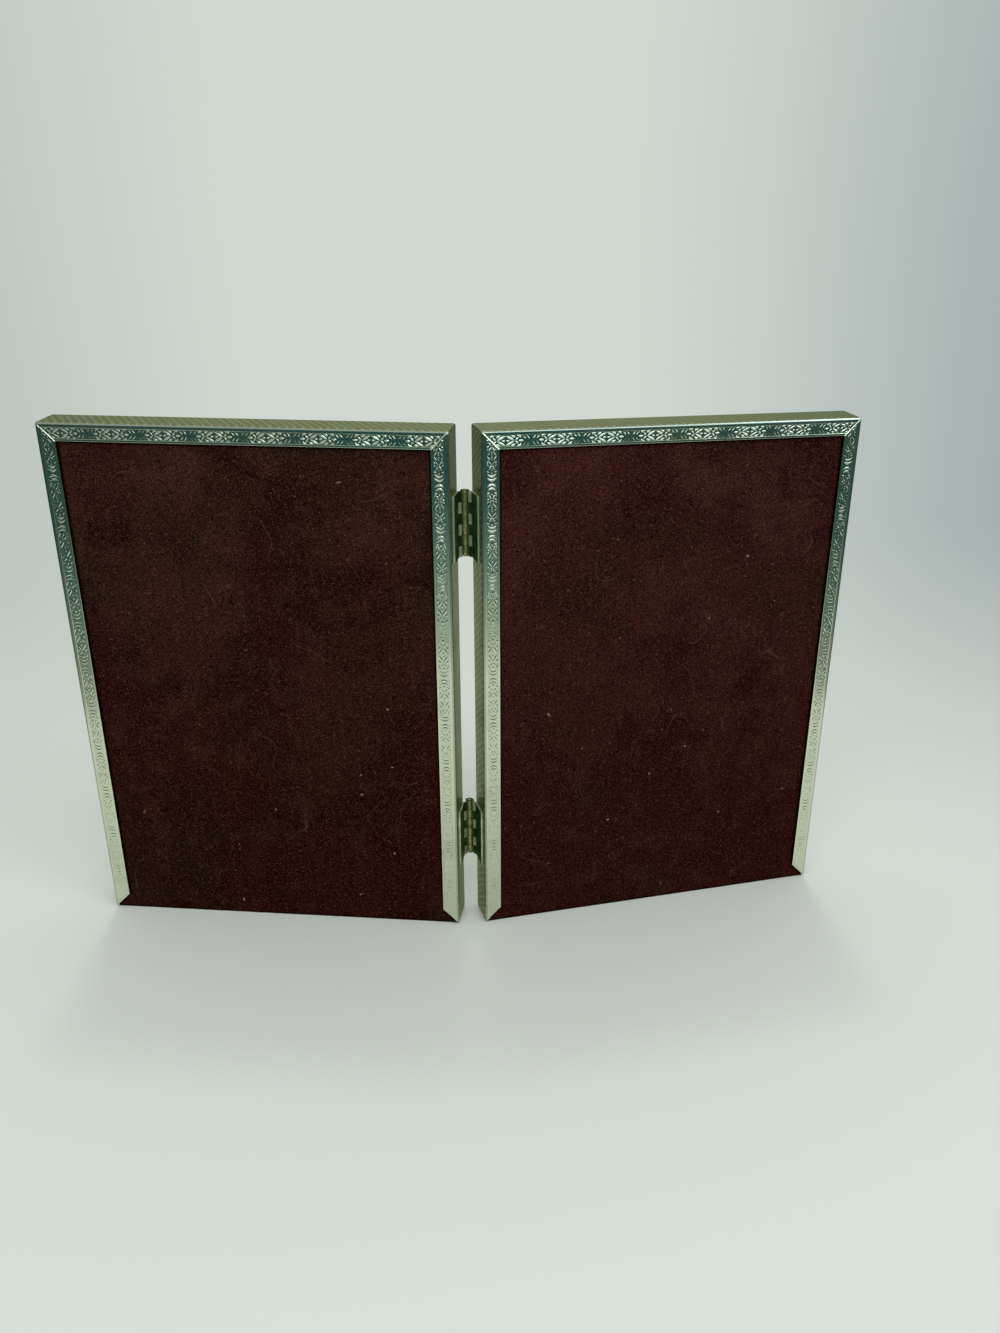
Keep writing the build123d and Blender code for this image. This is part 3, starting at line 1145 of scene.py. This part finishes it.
def dress_hinge_leaf(shape, leaf):
    """Choose a finish for each face of a hinge leaf, and lean its plate with the web."""
    inverse = leaf.matrix.inverted()
    heights = [(inverse @ vert.co).y for vert in shape.verts]
    low = min(heights)
    pitch = (max(heights) - low) / knuckle_count
    split_crank(shape, leaf, low, pitch)
    centres = [inverse @ face.calc_center_median() for face in shape.faces]
    owned = {int((place.y - low) / pitch) for place in centres if place.z < 0}
    # Faces across the gap and the knuckles' ends take the dark plate finish, partly painted shade;
    # the other edges and the straps take paler finishes, partly painted highlight.
    for face, place in zip(shape.faces, centres):
        normal = inverse.to_3x3() @ face.normal
        own = int((place.y - low) / pitch) in owned
        if place.z < strap_start:
            face.material_index = KNUCKLE if own and abs(normal.y) < end_share else PLATE
        elif place.z < crank_end:
            face.material_index = STRAP if own and abs(normal.x) < flat_share else PLATE
        else:
            face.material_index = PLATE if abs(normal.x) > flat_share else WORN_AND_LIT
    for vert in shape.verts:
        place = inverse @ vert.co
        place.x += web_lean * max(0, place.z - barrel_reach) / (leaf_depth - barrel_reach)
        vert.co = leaf.matrix @ place


for place in ("upper", "lower"):
    for leaf in leaves:
        node = f"{place}_hinge_{leaf.side}_leaf"
        shape = bevelled_copy(node)
        dress_hinge_leaf(shape, leaf)
        add_piece(f"{node}_worn", shape, hinge_metals, leaf.body, "hinge_metal", node)
    pin = f"{place}_hinge_pin"
    finishes = [hinge_metals[KNUCKLE]]
    add_piece(f"{pin}_worn", bevelled_copy(pin), finishes, "left_frame", "hinge_metal", pin)
print("hinges bevelled by", edge_round / MM, "mm")

# %% [markdown]
# ## Glass, card and boards
# The card, the boards and the corner keys are plain on the real object too, so their solids stay
# as they are and only get a finish: blank paper, grey-brown pulp with flecks, and dull steel. The
# panes are copies with ground edges. They are a hair thinner than the solids, because glass and
# card in one place would leave bands in the render.

# %% Finish what lies inside the leaves
def glass_finish():
    """Clear glass that also lets light straight through, so that the card behind it is lit."""
    graph = Finish("clear_glass")
    tint = (0.97, 0.99, 0.975, 1)
    pane = graph.node("ShaderNodeBsdfPrincipled", None, {
        "Base Color": tint,
        "Roughness": 0.01,
        "IOR": 1.5,
        "Transmission Weight": 1.0,
    })
    clear = graph.node("ShaderNodeBsdfTransparent", None, {"Color": tint})
    light = ray_is(graph, "Is Shadow Ray", "Is Diffuse Ray")
    return graph.show(graph.node("ShaderNodeMixShader", None, {0: light, 1: pane, 2: clear}))


def pulp_finish(name, light, dark, fleck):
    """Paper or board: faint clouds, and flecks of fibre."""
    graph = Finish(name)
    place = graph.place()
    clouds = graph.noise(place, 50, detail=4)
    fibres = graph.noise(graph.stretch(place, (1, 0.35, 1), turn=0.6), 900, detail=3)
    colour = graph.mix(graph.step(clouds, 0.3, 0.7), light, dark)
    colour = graph.mix(graph.step(fibres, 0.66, 0.74) * 0.5, colour, fleck)
    return graph.coat({
        "Base Color": colour,
        "Roughness": 0.8 + 0.1 * fibres,
        "Specular IOR Level": 0.3,
        "Normal": graph.bump(fibres, 0.03 * MM, 0.5),
    })


inner_finishes = {
    "photo_print": pulp_finish(
        "blank_card", srgb(236, 232, 222), srgb(232, 228, 217), srgb(220, 214, 200)
    ),
    "filler_board": pulp_finish(
        "filler_board", srgb(168, 159, 143), srgb(160, 151, 136), srgb(120, 111, 98)
    ),
    "back_board": pulp_finish(
        "back_board", srgb(142, 128, 109), srgb(134, 121, 103), srgb(96, 85, 71)
    ),
    "corner_keys": strip_finish("dull_steel", (0.46, 0.46, 0.45, 1), (0.30, 0.29, 0.27, 1), 0.38),
    "hinge_rivets": hinge_metals[PLATE],
}
for leaf in leaves:
    for part, finish in inner_finishes.items():
        frame["nodes"][f"{leaf.side}_{part}"].material_slots[0].material = finish
print("finished inside:", ", ".join(inner_finishes))

# %% Grind the edges of the glass
air_gap = 0.03 * MM
clear_glass = glass_finish()
for leaf in leaves:
    node = f"{leaf.side}_glass"
    low, high = leaf.span("glass")
    shape = bevelled_copy(node)
    thinner = Matrix.Scale(1 - 2 * air_gap / (high.z - low.z), 4, (0, 0, 1))
    centre = leaf.matrix @ Matrix.Translation((low + high) / 2)
    shape.transform(centre @ thinner @ centre.inverted())
    add_piece(f"{node}_pane", shape, [clear_glass], leaf.body, "clear_glass", node)
print("glass stands", air_gap / MM, "mm off the card")
